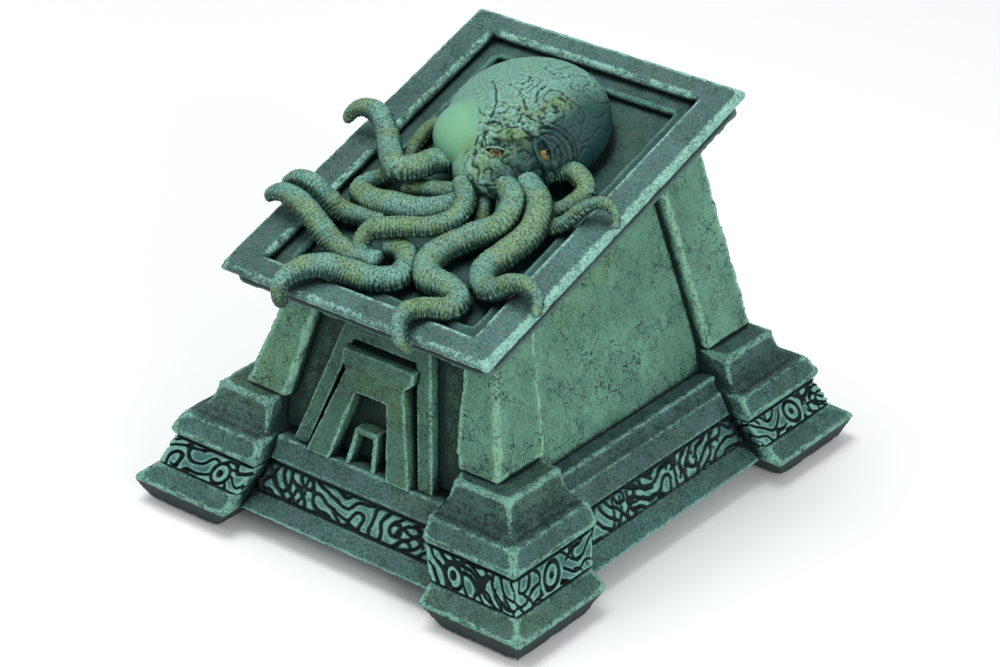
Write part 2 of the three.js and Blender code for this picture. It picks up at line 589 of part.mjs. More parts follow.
// ---- Octopus arms: each runs from its root at the head to its tip ----
// Points are [across, up the slope, out of the face]; radii go from the root to the tip.
// The list runs from the arms that lie on top to those that lie under them.
const ARMS = [
  { name: 'arm_left_upper', radii: [4.7, 4.4, 3.2], route: [
    [-13, 79, 1], [-20, 74, 2], [-22, 67, 4], [-27, 63, 5.6], [-34, 68, 5], [-42, 76, 6],
    [-48, 80, 10], [-55, 80, 10.5], [-60, 78, 7.5], [-62, 76, 3.8]] },
  { name: 'arm_middle_coil', radii: [3.6, 3.5, 4.2], route: [
    [-2, 68, 4], [6, 60, 4.4], [8, 52, 4.2], [3, 45, 3.8], [-4, 41, 4.2], [-11, 37, 4.6],
    [-17, 34, 3], [-18, 29, 0], [-13, 27, -2.4]] },
  { name: 'arm_front_long', radii: [4.6, 5.1, 3], route: [
    [12, 75, 3], [22, 67, 3], [23, 58, 1], [15, 50, -1], [9, 42, -2], [8, 34, -2.3],
    [13, 28, -2.3], [22, 27, -2.3], [29, 24, -2.3], [30, 18, -1.5], [25, 12, 2],
    [23, 6, 5.3], [24, 0, 5.4], [27, -4.4, 2.4], [30, -4, -4]] },
  { name: 'arm_left_lower', radii: [4.4, 4.2, 3.3], route: [
    [-8, 27, -3.2], [-18, 26, -3], [-27, 26, -1], [-33, 27, 3.6], [-39, 29, 7.4],
    [-46, 31, 9.3], [-53, 32, 9.4], [-59, 32, 7], [-62.5, 31, 3.8]] },
  { name: 'arm_front_loop', radii: [4.2, 4.8, 3.4], route: [
    [-12, 35, -3], [-4, 35, -2.4], [2, 30, -2.4], [2, 23, -2.4], [-5, 18, -1.4], [-12, 16, 0.6],
    [-19, 12.5, 4], [-24, 8, 5.4], [-27, 3, 5.4], [-28, -2, 4.6], [-28, -4.4, 0.6],
    [-28, -4.2, -4.6]] },
  { name: 'arm_left_middle', radii: [3.8, 3.7, 3.1], route: [
    [-20, 44, -3.6], [-30, 44, -3.6], [-37, 42, -2], [-42, 41, 3.6], [-47, 41, 8.2],
    [-53, 41, 8.8], [-58, 40, 6.6], [-61, 39, 3.6]] },
  { name: 'arm_right_lower', radii: [4.6, 5, 2.4], route: [
    [18, 79, 3], [30, 71, 2], [34, 60, 0], [31, 49, -2], [28.5, 41, -2.8], [32, 34, -2.6],
    [40, 31, 0], [48, 32, 5.4], [56, 32, 8], [62, 29, 6.6], [64, 24, 2.9]] },
  { name: 'arm_right_upper', radii: [3.8, 3.2, 1.9], route: [
    [20, 86, 1], [30, 91, 1.4], [38, 87, -1], [36, 79, -3], [32, 73, -3.8], [35, 68, -3.8],
    [41, 69, -1.2], [48, 74, 5], [54, 77, 7.6], [60, 76, 6.4], [63, 72, 2.4]] },
  { name: 'arm_left_fold', radii: [4.9, 5.2, 3.4], route: [
    [5, 66, 0], [-3, 58, -1.4], [-12, 53, -1.6], [-22, 51, -1], [-32, 50.5, -1.4],
    [-39, 54, -2.2], [-39, 61, -3], [-35, 67, -3.6]] },
  { name: 'arm_left_short', radii: [3.8, 3.6, 3], route: [
    [-3, 68, -1.6], [-11, 66.5, -3], [-19, 65, -3.6], [-27, 61.5, -3.8]] },
  { name: 'arm_left_hook', radii: [3, 2.8, 1.8], route: [
    [-26, 99, 0], [-33, 97, -2.6], [-38, 92, -4], [-38, 85, -4.6], [-36, 78, -5], [-34, 72, -5.4]] },
  { name: 'arm_inner_left', radii: [3.2, 3, 2], route: [
    [3, 74, 1], [8, 67, -1.6], [11, 60, -4], [9, 54, -5.2]] },
  { name: 'arm_inner_right', radii: [3.2, 3, 2], route: [
    [9, 77, 1], [15, 70, -0.6], [17, 62, -3.8], [14, 56, -5.2]] },
];
const ARM_SIDES = 8;
const ARM_STEP = 5.5; // length of one step along an arm

// A capped cylinder bent along the route, with rounded ends and a radius that tapers.
function arm({ radii, route }, grow) {
  const curve = new THREE.CatmullRomCurve3(
    route.map((p) => new THREE.Vector3(...onLid(p))), false, 'centripetal');
  const length = curve.getLength();
  const steps = Math.round(length / ARM_STEP);
  const frames = curve.computeFrenetFrames(steps, false);
  const geometry = new THREE.CylinderGeometry(1, 1, 1, ARM_SIDES, steps);
  const position = geometry.attributes.position;
  for (let i = 0; i < position.count; i += 1) {
    const step = Math.round((position.getY(i) + 0.5) * steps);
    const t = step / steps;
    const [start, end] = t < 0.5 ? [radii[0], radii[1]] : [radii[1], radii[2]];
    const rounded = step === 0 || step === steps ? 0.6 : 1;
    const radius = (start + (end - start) * (t < 0.5 ? 2 * t : 2 * t - 1)) * rounded + grow;
    const point = curve.getPointAt(t);
    point.addScaledVector(frames.normals[step], position.getX(i) * radius);
    point.addScaledVector(frames.binormals[step], -position.getZ(i) * radius);
    position.setXYZ(i, point.x, point.y, point.z);
  }
  geometry.computeVertexNormals();
  return geometry;
}

const placed = [headSolid(GAP), ...lidClear];
for (const shape of ARMS) {
  add(lid, shape.name, cut(arm(shape, 0), ...placed), skin);
  placed.push(arm(shape, GAP));
}

export default tower;
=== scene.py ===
"""A dice tower cast in verdigris resin: a battered tomb with an octopus on its sloping lid.

Metres, +Z up, +Y to the rear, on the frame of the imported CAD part.
"""
import math

import bmesh
import bpy
import numpy as np
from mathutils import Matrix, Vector


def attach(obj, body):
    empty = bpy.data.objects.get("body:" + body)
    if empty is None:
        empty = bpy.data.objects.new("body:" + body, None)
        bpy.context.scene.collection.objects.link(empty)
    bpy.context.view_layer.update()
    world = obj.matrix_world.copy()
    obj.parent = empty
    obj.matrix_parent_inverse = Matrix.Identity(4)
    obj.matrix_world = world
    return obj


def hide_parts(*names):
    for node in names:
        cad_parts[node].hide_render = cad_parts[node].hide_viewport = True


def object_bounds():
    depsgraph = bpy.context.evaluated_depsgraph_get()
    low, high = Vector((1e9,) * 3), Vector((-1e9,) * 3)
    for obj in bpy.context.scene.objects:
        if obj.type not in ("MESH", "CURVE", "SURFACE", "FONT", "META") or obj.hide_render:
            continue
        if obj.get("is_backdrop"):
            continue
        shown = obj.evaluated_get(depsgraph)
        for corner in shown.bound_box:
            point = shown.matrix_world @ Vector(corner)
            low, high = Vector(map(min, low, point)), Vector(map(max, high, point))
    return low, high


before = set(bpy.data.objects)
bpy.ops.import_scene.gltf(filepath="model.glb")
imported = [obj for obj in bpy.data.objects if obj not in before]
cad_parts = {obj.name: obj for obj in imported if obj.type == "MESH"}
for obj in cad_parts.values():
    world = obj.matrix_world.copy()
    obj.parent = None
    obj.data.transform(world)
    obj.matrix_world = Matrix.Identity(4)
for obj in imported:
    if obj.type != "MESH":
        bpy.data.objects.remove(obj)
cad_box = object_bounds()
scene = bpy.context.scene

# ---- The view ----
# A camera a metre and a quarter away, high over the front right corner foot, with a long lens.
target = Vector((0, 0, 0.054))
turn = math.radians(38.8)
height = math.radians(28.66)
outward = (math.sin(turn) * math.cos(height), -math.cos(turn) * math.cos(height), math.sin(height))
back = Vector(outward)
camera = bpy.data.objects.new("camera", bpy.data.cameras.new("camera"))
camera.location = target + 1.2352 * back
camera.rotation_euler = back.to_track_quat("Z", "Y").to_euler()
camera.data.lens = 122.2
camera.data.shift_x = 0.0007
camera.data.shift_y = 0.0067
camera.data.clip_start = 0.05
scene.collection.objects.link(camera)
scene.camera = camera

# ---- Floor and light ----
# A pale matt sheet and a soft studio: a white surround, a large overhead panel and two side panels.
sheet_mesh = bpy.data.meshes.new("floor")
bm = bmesh.new()
bmesh.ops.create_grid(bm, x_segments=1, y_segments=1, size=3)
bm.to_mesh(sheet_mesh)
bm.free()
floor = bpy.data.objects.new("floor", sheet_mesh)
scene.collection.objects.link(floor)
floor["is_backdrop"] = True
pale = bpy.data.materials.new("pale_floor")
pale.use_nodes = True
pale.node_tree.nodes["Principled BSDF"].inputs["Base Color"].default_value = (0.95, 0.95, 0.95, 1)
pale.node_tree.nodes["Principled BSDF"].inputs["Roughness"].default_value = 0.9
sheet_mesh.materials.append(pale)

studio = bpy.data.worlds.new("studio")
studio.use_nodes = True
studio.node_tree.nodes["Background"].inputs["Color"].default_value = (0.93, 0.97, 1, 1)
studio.node_tree.nodes["Background"].inputs["Strength"].default_value = 0.5
scene.world = studio
scene.view_settings.view_transform = "Standard"


def panel_light(name, place, size, power):
    """A square soft panel that faces the middle of the tower."""
    light = bpy.data.lights.new(name, "AREA")
    light.size = size
    light.energy = power
    lamp = bpy.data.objects.new(name, light)
    lamp.location = place
    lamp.rotation_euler = (Vector(place) - Vector((0, 0, 0.08))).to_track_quat("Z", "Y").to_euler()
    scene.collection.objects.link(lamp)


panel_light("overhead_panel", (-0.25, -0.1, 1.3), 0.7, 10)
panel_light("right_panel", (1.25, -0.55, 0.6), 0.6, 9.5)
panel_light("left_panel", (-0.9, -0.8, 0.8), 0.5, 2.2)

# ---- Corner feet ----
# Four sloping slabs of cast resin, one under each corner, worn round and chipped on their rims.
# Each starts as the plain casting, takes an even skin of small faces, and is then weathered.
GRAIN = 1.0  # a factor on the grain of every skin; above 1 the skin is coarser
CELL = 1.3
grid_corner = np.array(cad_box[0]) * 1000 - 12
cells = np.ceil((np.array(cad_box[1]) * 1000 + 12 - grid_corner) / CELL).astype(int)


def filled(mesh):
    """The cells of a grid round the tower that a closed casting fills."""
    mesh.calc_loop_triangles()
    flat = np.empty(len(mesh.vertices) * 3, np.float32)
    mesh.vertices.foreach_get("co", flat)
    spots = (flat.reshape(-1, 3) * 1000 - grid_corner) / CELL
    index = np.empty(len(mesh.loop_triangles) * 3, np.int32)
    mesh.loop_triangles.foreach_get("vertices", index)
    flips = np.zeros(cells, np.int8)
    for a, b, c in spots[index.reshape(-1, 3)]:
        area = (b[0] - a[0]) * (c[1] - a[1]) - (b[1] - a[1]) * (c[0] - a[0])
        if abs(area) < 1e-9:
            continue
        low = np.floor(np.min((a, b, c), axis=0)[:2]).astype(int) - 1
        high = np.ceil(np.max((a, b, c), axis=0)[:2]).astype(int) + 1
        over = np.mgrid[low[0]:high[0], low[1]:high[1]]
        x = over[0] + 0.5137 - a[0]
        y = over[1] + 0.5171 - a[1]
        v = (x * (c[1] - a[1]) - y * (c[0] - a[0])) / area
        w = ((b[0] - a[0]) * y - (b[1] - a[1]) * x) / area
        hit = (v >= 0) & (w >= 0) & (v + w <= 1)
        level = np.ceil(a[2] + v * (b[2] - a[2]) + w * (c[2] - a[2]) - 0.5).astype(int)
        np.add.at(flips, (over[0][hit], over[1][hit], level[hit]), 1)
    return np.cumsum(flips, axis=2) % 2 == 1


def blurred(bulk, radius):
    """The share of the space within about radius millimetres that is filled, for each cell."""
    spread = [np.fft.fftfreq(cells[0]), np.fft.fftfreq(cells[1]), np.fft.rfftfreq(cells[2])]
    squared = sum(f ** 2 for f in np.meshgrid(*spread, indexing="ij", sparse=True))
    fade = np.exp(-2 * (math.pi * radius / CELL) ** 2 * squared)
    return np.fft.irfftn(np.fft.rfftn(bulk) * fade, cells)


castings = np.zeros(cells, bool)
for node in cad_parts.values():
    castings |= filled(node.data)
NEAR = (2.2, 1.6, blurred(castings, 2.2))  # radius of the blur, and how far off the face it is read
WIDE = (6.0, 4.0, blurred(castings, 6.0))


def closeness(skin, radius, reach, share):
    """How far other faces close in on each point: 0 on a flat face, below it on an edge."""
    spot = (skin.points + skin.normals * reach - grid_corner) / CELL - 0.5
    base = np.clip(np.floor(spot).astype(int), 0, cells - 2)
    part = np.clip(spot - base, 0, 1)
    total = 0
    for corner in range(8):
        pick = np.array([(corner >> axis) & 1 for axis in range(3)])
        weight = np.prod(np.where(pick, part, 1 - part), axis=1)
        total = total + weight * share[tuple((base + pick).T)]
    flat = 0.5 * (1 - math.erf(reach / radius / math.sqrt(2)))
    return (total - flat) / (1 - flat)


class Skin:
    """The points of a piece in millimetres, to be carved and worn."""

    def __init__(self, piece):
        self.piece = piece
        self.mesh = piece.data
        self.count = len(self.mesh.vertices)
        flat = np.empty(self.count * 3, np.float32)
        self.mesh.vertices.foreach_get("co", flat)
        self.points = flat.reshape(-1, 3).astype(float) * 1000
        ends = np.empty(len(self.mesh.edges) * 2, np.int32)
        self.mesh.edges.foreach_get("vertices", ends)
        self.one, self.other = ends.reshape(-1, 2).T
        self.neighbours = np.bincount(ends, minlength=self.count).astype(float)
        self.read_normals()

    def read_normals(self):
        flat = np.empty(self.count * 3, np.float32)
        self.mesh.vertex_normals.foreach_get("vector", flat)
        self.normals = flat.reshape(-1, 3).astype(float)

    def spread(self, values, times=1):
        """Each point takes the mean of its neighbours, as many times as asked."""
        for _ in range(times):
            columns = values.reshape(self.count, -1)
            mixed = np.empty_like(columns)
            for i, column in enumerate(columns.T):
                total = np.bincount(self.one, column[self.other], self.count)
                total += np.bincount(self.other, column[self.one], self.count)
                mixed[:, i] = total / self.neighbours
            values = mixed.reshape(values.shape)
        return values

    def push(self, amount):
        """Moves the points out along their normals, by millimetres, and reads the normals again."""
        self.points = self.points + self.normals * amount[:, None]
        self.write()

    def write(self):
        flat = (self.points / 1000).astype(np.float32).ravel()
        self.mesh.vertices.foreach_set("co", flat)
        self.mesh.update()
        self.read_normals()

    def bend(self, times):
        """How far a point stands out of its surroundings: above 0 on an edge, below it in a groove."""
        smooth = self.spread(self.points, times)
        return np.einsum("ij,ij->i", self.points - smooth, self.normals)

    def keep(self, name, values):
        """Stores a value for each point, from 0 to 1, for the paint to read."""
        old = self.mesh.attributes.get(name)
        layer = old or self.mesh.attributes.new(name, "FLOAT", "POINT")
        layer.data.foreach_set("value", np.clip(values, 0, 1).astype(np.float32))


def rumple(points, size, seed):
    """Smooth random hills from -1 to 1, about as wide as size, at each point."""
    table = np.random.default_rng(seed).uniform(-1, 1, (24, 24, 24))
    place = points / size + 3.7 * seed
    cell = np.floor(place).astype(int)
    along = place - cell
    along = along * along * (3 - 2 * along)
    near = cell % 24
    far = (cell + 1) % 24
    total = 0
    for corner in range(8):
        picks = [(corner >> axis) & 1 for axis in range(3)]
        spots = [far[:, axis] if pick else near[:, axis] for axis, pick in enumerate(picks)]
        weight = 1
        for axis, pick in enumerate(picks):
            weight = weight * (along[:, axis] if pick else 1 - along[:, axis])
        total = total + weight * table[spots[0], spots[1], spots[2]]
    return total


def ramp(value, low, high):
    """0 below low, 1 above high, and an even curve between them."""
    part = np.clip((value - low) / (high - low), 0, 1)
    return part * part * (3 - 2 * part)


def even_skin(piece, grain):
    """Remeshes a closed piece into small even faces, grain millimetres across."""
    remesh = piece.modifiers.new("even skin", "REMESH")
    remesh.mode = "VOXEL"
    remesh.voxel_size = grain * GRAIN / 1000
    finished = bpy.data.meshes.new_from_object(piece.evaluated_get(bpy.context.evaluated_depsgraph_get()))
    piece.modifiers.clear()
    piece.data = finished
    finished.shade_smooth()
    return Skin(piece)


def casting(node, grain):
    """The plain casting of a CAD piece, under an even skin."""
    bm = bmesh.new()
    bm.from_mesh(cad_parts[node].data)
    bmesh.ops.remove_doubles(bm, verts=bm.verts, dist=1e-6)
    mesh = bpy.data.meshes.new("cast_" + node)
    bm.to_mesh(mesh)
    bm.free()
    piece = bpy.data.objects.new("cast_" + node, mesh)
    scene.collection.objects.link(piece)
    return even_skin(piece, grain)


def weather(skin, seed, chips=0.5, rough=0.06):
    """Rounds and chips the free edges, and leaves the faces slightly uneven."""
    free = ramp(closeness(skin, *NEAR), 0.12, -0.1)
    edge = ramp(skin.spread(skin.bend(3), 2), 0.03, 0.16) * free
    knocked = ramp(rumple(skin.points, 3.2, seed) + 0.5 * rumple(skin.points, 1.1, seed + 1), -0.1, 0.7)
    for _ in range(3):
        pull = skin.spread(skin.points) - skin.points
        skin.points += pull * (0.35 + 0.6 * knocked[:, None]) * edge[:, None]
    skin.write()
    dents = rumple(skin.points, 7, seed + 2) + 0.7 * rumple(skin.points, 2.3, seed + 3)
    dents += 0.6 * rumple(skin.points, 0.9, seed + 4)
    skin.push(rough * dents - chips * edge * knocked)


def stain(skin, extra=0.0):
    """Marks the worn edges, and the hollows, corners and gaps between pieces, where the dark wash gathers
    and painted shade is laid; extra darkens chosen areas further.
    """
    fine = skin.spread(skin.bend(2), 1)
    broad = skin.spread(skin.bend(14), 4)
    near = closeness(skin, *NEAR)
    wide = closeness(skin, *WIDE)
    free = ramp(near, 0.25, -0.05)
    skin.keep("wear", (ramp(fine, 0.01, 0.1) * 0.35 + ramp(broad, 0.05, 0.6) * 0.65) * free)
    # The hollows and the places other faces close in on are marked for the dark wash and for painted
    # shade.
    skin.keep("hollow", ramp(-fine, 0.005, 0.06) * 0.6 + ramp(-broad, 0.05, 0.5) * 0.6)
    skin.keep("soot", ramp(near, 0.02, 0.5) * 0.6 + ramp(wide, 0.0, 0.6) * 0.7 + extra)


def place(skin, body, slot, finish, *nodes):
    """Fixes a finished piece to its body in place of its CAD nodes."""
    skin.mesh.materials.clear()
    skin.mesh.materials.append(finish)
    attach(skin.piece, body)
    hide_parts(*nodes)


class Dye:
    """A value in a material's node tree that adds, multiplies and mixes like a number."""

    tree = None

    def __init__(self, socket):
        self.socket = socket

    @classmethod
    def node(cls, kind, settings=None, values=None, output=0):
        """Any node: its settings are set first, then the values or links of its sockets."""
        made = cls.tree.nodes.new(kind)
        for key, value in (settings or {}).items():
            if key == "stops":
                for element, (position, colour) in zip(
                    [made.color_ramp.elements[0], made.color_ramp.elements[1]]
                    + [made.color_ramp.elements.new(0.5) for _ in value[2:]],
                    value,
                ):
                    element.position = position
                    element.color = (*colour, 1)
            else:
                setattr(made, key, value)
        for key, value in (values or {}).items():
            if isinstance(value, Dye):
                cls.tree.links.new(value.socket, made.inputs[key])
            else:
                made.inputs[key].default_value = value
        return cls(made.outputs[output])

    def maths(self, operation, other=0.0, swap=False):
        pair = {0: other, 1: self} if swap else {0: self, 1: other}
        return Dye.node("ShaderNodeMath", {"operation": operation}, pair)

    def __add__(self, other):
        return self.maths("ADD", other)

    def __radd__(self, other):
        return self.maths("ADD", other)

    def __sub__(self, other):
        return self.maths("SUBTRACT", other)

    def __rsub__(self, other):
        return self.maths("SUBTRACT", other, swap=True)

    def __mul__(self, other):
        return self.maths("MULTIPLY", other)

    def __rmul__(self, other):
        return self.maths("MULTIPLY", other)

    def between(self, low, high):
        """0 below low and 1 above high."""
        return Dye.node(
            "ShaderNodeMapRange",
            {"interpolation_type": "SMOOTHSTEP", "clamp": True},
            {"Value": self, "From Min": low, "From Max": high},
        )


def tint(mask, under, over):
    """The colour over laid on the colour under where the mask is 1."""
    return Dye.node(
        "ShaderNodeMix",
        {"data_type": "RGBA"},
        {0: mask, 6: under if isinstance(under, Dye) else (*under, 1),
         7: over if isinstance(over, Dye) else (*over, 1)},
        2,
    )


def mark(name):
    """One of the values stored on the points of a piece."""
    return Dye.node("ShaderNodeAttribute", {"attribute_name": name}, output=2)


def cloud(scale, detail=3.0, rough=0.55, warp=0.0):
    """Noise over the piece; the scale is in patches per metre."""
    place = Dye.node("ShaderNodeTexCoord", output=3)
    return Dye.node(
        "ShaderNodeTexNoise",
        {"noise_dimensions": "3D"},
        {"Vector": place, "Scale": scale, "Detail": detail, "Roughness": rough, "Distortion": warp},
    )


def cracks(scale, width):
    """Thin wandering lines: 1 on a line and 0 away from it."""
    place = Dye.node("ShaderNodeTexCoord", output=3)
    sway = Dye.node(
        "ShaderNodeTexNoise",
        {"noise_dimensions": "3D"},
        {"Vector": place, "Scale": scale * 2.2, "Detail": 4.0},
        1,
    )
    shift = Dye.node(
        "ShaderNodeVectorMath",
        {"operation": "MULTIPLY_ADD"},
        {0: sway, 1: (1.5 / scale,) * 3, 2: place},
    )
    cells = Dye.node(
        "ShaderNodeTexVoronoi",
        {"feature": "DISTANCE_TO_EDGE"},
        {"Vector": shift, "Scale": scale},
    )
    return 1 - cells.between(0.0, width)


def verdigris(name, deep, middle, bright, ochre=0.35, plum=0.0, vein=0.5, speck=0.5, belt=None):
    """Teal resin under a dark wash with painted shade in its hollows, corners and grooves, dry-brushed
    with mint, with ochre or plum patches.
    """
    material = bpy.data.materials.new(name)
    material.use_nodes = True
    Dye.tree = material.node_tree
    shader = material.node_tree.nodes["Principled BSDF"]
    wear = mark("wear")
    hollow = mark("hollow")
    soot = mark("soot")
    patches = cloud(38, 3, 0.6)
    blotch = cloud(190, 4, 0.65)
    grain = cloud(1150, 3, 0.75)
    fleck = cloud(2500, 2, 0.7)
    body = tint(patches.between(0.3, 0.7), [0.8 * c for c in middle], [1.15 * c for c in middle])
    warmth = cloud(26, 2, 0.5).between(0.5, 0.68) * ochre
    body = tint(warmth, body, [v * m for v, m in zip((1.5, 1.15, 0.62), middle)])
    if plum:
        body = tint(blotch.between(0.46, 0.62) * plum, body, (0.085, 0.095, 0.115))
    stipple = (1 - (grain * 0.7 + blotch * 0.3).between(0.4, 0.57)) * speck
    if belt:
        body = tint(mark("belt"), body, belt)
        stipple = stipple * (1 - mark("belt") * 0.7)
    brushed = fleck * 0.55 + grain * 0.5 + patches * 0.3 + wear * 1.1 - soot * 0.8
    brushed = brushed.between(0.7, 1.2)
    paint = tint(brushed * 0.9, body, bright)
    lines = cracks(105, 0.03) * cloud(55, 2).between(0.4, 0.58) * vein
    lines = lines + cracks(250, 0.05) * cloud(90, 2).between(0.44, 0.6) * vein * 0.55
    # Painted shade: the hollows and the places other faces close in on are darkened along with the dark
    # wash.
    dark_with_shade = (hollow + soot * 1.2).between(0.06, 0.95)
    # On the carved belt the grooves get the same dark wash and painted shade.
    if belt:
        dark_with_shade = (dark_with_shade + mark("groove") * 1.2).between(0.0, 1.0)
    wash_and_shade = (dark_with_shade + lines + stipple).between(-0.1, 1.0)
    paint = tint(wash_and_shade * 0.95, paint, deep)
    height = grain * 0.5 + fleck * 0.25 + blotch * 0.5 - lines * 0.8
    bump = Dye.node("ShaderNodeBump", {}, {"Strength": 0.55, "Distance": 0.0004, "Height": height})
    shine = 0.6 - wash_and_shade * 0.12 + grain * 0.15
    Dye.tree.links.new(paint.socket, shader.inputs["Base Color"])
    Dye.tree.links.new(bump.socket, shader.inputs["Normal"])
    Dye.tree.links.new(shine.socket, shader.inputs["Roughness"])
    shader.inputs["Specular IOR Level"].default_value = 0.22
    return material


DEEP = (0.006, 0.018, 0.018)
stone = verdigris("verdigris_stone", DEEP, (0.06, 0.145, 0.125), (0.2, 0.44, 0.35), plum=0.2, speck=0.6)

for corner in ("front_left", "front_right", "rear_left", "rear_right"):
    skin = casting("corner_foot_" + corner, 0.7)
    weather(skin, 11, chips=0.55, rough=0.09)
    # The feet are darker towards the bottom, below about 9 mm.
    stain(skin, 0.75 * ramp(skin.points[:, 2], 9.4, 8.2))
    place(skin, "tower", "verdigris_resin", stone, "corner_foot_" + corner)

# ---- Felt pads ----
# A dark felt disc glued under each foot, cut from sheet and slightly fuzzy at its edge.
felt = bpy.data.materials.new("dark_felt")
felt.use_nodes = True
Dye.tree = felt.node_tree
fibres = cloud(3000, 4, 0.7)
felt_shader = felt.node_tree.nodes["Principled BSDF"]
felt_colour = tint(fibres.between(0.3, 0.7), (0.008, 0.01, 0.011), (0.03, 0.034, 0.036))
felt_bump = Dye.node("ShaderNodeBump", {}, {"Strength": 0.6, "Distance": 0.0003, "Height": fibres})
Dye.tree.links.new(felt_colour.socket, felt_shader.inputs["Base Color"])
Dye.tree.links.new(felt_bump.socket, felt_shader.inputs["Normal"])
felt_shader.inputs["Roughness"].default_value = 0.95
for corner in ("front_left", "front_right", "rear_left", "rear_right"):
    skin = casting("felt_pad_" + corner, 0.5)
    skin.push(0.05 * rumple(skin.points, 0.8, 3))
    place(skin, "tower", "felt", felt, "felt_pad_" + corner)

# ---- Carved band ----
# A belt of flat worm-like strokes between deep grooves runs round the corner blocks and the runs.
# The belt is cast with each piece; its grooves are cut a millimetre and more into the skin.
BAND = (15.2, 26.8)  # heights between which the belt runs
STROKE = 4.1  # from the middle of one groove to the next
TILE = (128.0, 16.0)  # the pattern repeats along the belt after this, and is this high


def strokes(seed):
    """Wandering bands, sharpened from seeded noise by keeping one spacing; grooves run where it is 0."""
    step = 0.25
    wide, high = (int(length / step) for length in TILE)
    field = np.random.default_rng(seed).standard_normal((high, wide))
    fx = np.fft.fftfreq(wide, step)
    fy = np.fft.fftfreq(high, step)[:, None]
    spacing = np.hypot(fx, fy * 0.8) * 2 * STROKE
    keep = np.exp(-((spacing - 1) / 0.4) ** 2)
    for _ in range(6):
        field = np.fft.ifft2(np.fft.fft2(field) * keep).real
        field = np.tanh(1.8 * field / field.std())
    return np.fft.ifft2(np.fft.fft2(field) * np.exp(-(spacing / 6) ** 2)).real


def sampled(field, along, up):
    """The field's value between its own points, wrapped round in both directions."""
    high, wide = field.shape
    x = along / TILE[0] * wide
    y = up / TILE[1] * high
    x0 = np.floor(x).astype(int)
    y0 = np.floor(y).astype(int)
    fx = x - x0
    fy = y - y0
    total = (1 - fx) * (1 - fy) * field[y0 % high, x0 % wide]
    total += fx * (1 - fy) * field[y0 % high, (x0 + 1) % wide]
    total += (1 - fx) * fy * field[(y0 + 1) % high, x0 % wide]
    total += fx * fy * field[(y0 + 1) % high, (x0 + 1) % wide]
    return total


def carve(skin, along, seed, rings=()):
    """Cuts the belt into the upright faces; along is each point's distance round the plinth."""
    up = skin.points[:, 2] - BAND[0]
    sway = 1.2 * rumple(skin.points, 8, seed)
    rise = up + 0.8 * rumple(skin.points, 6, seed + 1)
    value = np.abs(sampled(strokes(seed), along + sway, rise))
    branch = np.abs(sampled(strokes(seed + 50), along - sway, rise))
    branch += 0.9 * ramp(rumple(skin.points, 7, seed + 2), -0.35, 0.05)
    value = np.minimum(value, branch)
    for middle, level, radius in rings:
        apart = np.hypot(along - middle, up - level)
        waves = np.abs(np.cos(math.pi * (apart + 1.2) / 3.4))
        value = value + (waves - value) * ramp(radius - apart, 0, 1.2)
    share = up / (BAND[1] - BAND[0])
    inside = (share > 0.01) & (share < 0.99) & (np.abs(skin.normals[:, 2]) < 0.8)
    rim = ramp(share, 0.01, 0.08) * ramp(share, 0.99, 0.92)
    value = value - 0.34 * ramp(rumple(skin.points, 5, seed + 5), -0.1, 0.5)
    top = ramp(value, 0.22, 0.6) * rim
    skin.push(inside * (0.15 * ramp(value, 0.5, 0.95) - 1.45 * (1 - top)))
    skin.keep("groove", (1 - top) * inside)
    skin.keep("belt", inside * 1.0)


carved = verdigris("carved_verdigris", (0.003, 0.009, 0.011), (0.06, 0.145, 0.13),
                   (0.2, 0.43, 0.36), ochre=0.25, plum=0.25, vein=0.2, speck=0.6,
                   belt=(0.045, 0.135, 0.12))
for corner, sx, sy in (("front_left", -1, -1), ("front_right", 1, -1),
                       ("rear_left", -1, 1), ("rear_right", 1, 1)):
    skin = casting("corner_frieze_" + corner, 0.42)
    round_plinth = sx * skin.points[:, 0] - sy * skin.points[:, 1]
    corner_at = -11.2
    carve(skin, round_plinth, 21 + sx + 2 * sy, ((corner_at + 20, 6, 7), (corner_at - 27, 5, 5)))
    stain(skin)
    place(skin, "tower", "carved_resin", carved, "corner_frieze_" + corner)

# ---- Runs between the corner blocks ----
# One casting for each run: the slab's bevel, the carved belt, the cornice and, at the sides, a cove.
# The front run stands before the false door; two short stubs flank the dice outlet at the rear.
for run, axis in (("front", 0), ("left", 1), ("right", 1), ("rear_left", 0), ("rear_right", 0)):
    skin = casting("plinth_run_" + run, 0.62)
    carve(skin, skin.points[:, axis], 30 + len(run))
    weather(skin, 31, chips=0.35, rough=0.05)
    stain(skin)
    place(skin, "tower", "carved_resin", carved, "plinth_run_" + run)

# ---- Cornices ----
# The cap of each corner block: a sharp drip edge, a hollow sweep and a small block under the pilaster.
for corner in ("front_left", "front_right", "rear_left", "rear_right"):
    skin = casting("corner_cornice_" + corner, 0.66)
    weather(skin, 41, chips=0.5, rough=0.07)
    level = skin.points[:, 2]
    # Painted shade darkens the hollow sweep above the drip edge.
    stain(skin, 0.3 * ramp(level, 35.4, 37) * ramp(level, 46.5, 38))
    place(skin, "tower", "verdigris_resin", stone, "corner_cornice_" + corner)

# ---- Walls and pilasters ----
# Battered resin walls, let in between four heavy corner pilasters and glued on three sides.
wall_stone = verdigris("wall_verdigris", DEEP, (0.125, 0.295, 0.205), (0.25, 0.5, 0.36),
                       ochre=0.3, vein=0.9, speck=0.4)
for corner in ("front_left", "front_right", "rear_left", "rear_right"):
    skin = casting("pilaster_" + corner, 0.72)
    weather(skin, 51, chips=0.6, rough=0.08)
    stain(skin)
    place(skin, "tower", "verdigris_resin", wall_stone, "pilaster_" + corner)
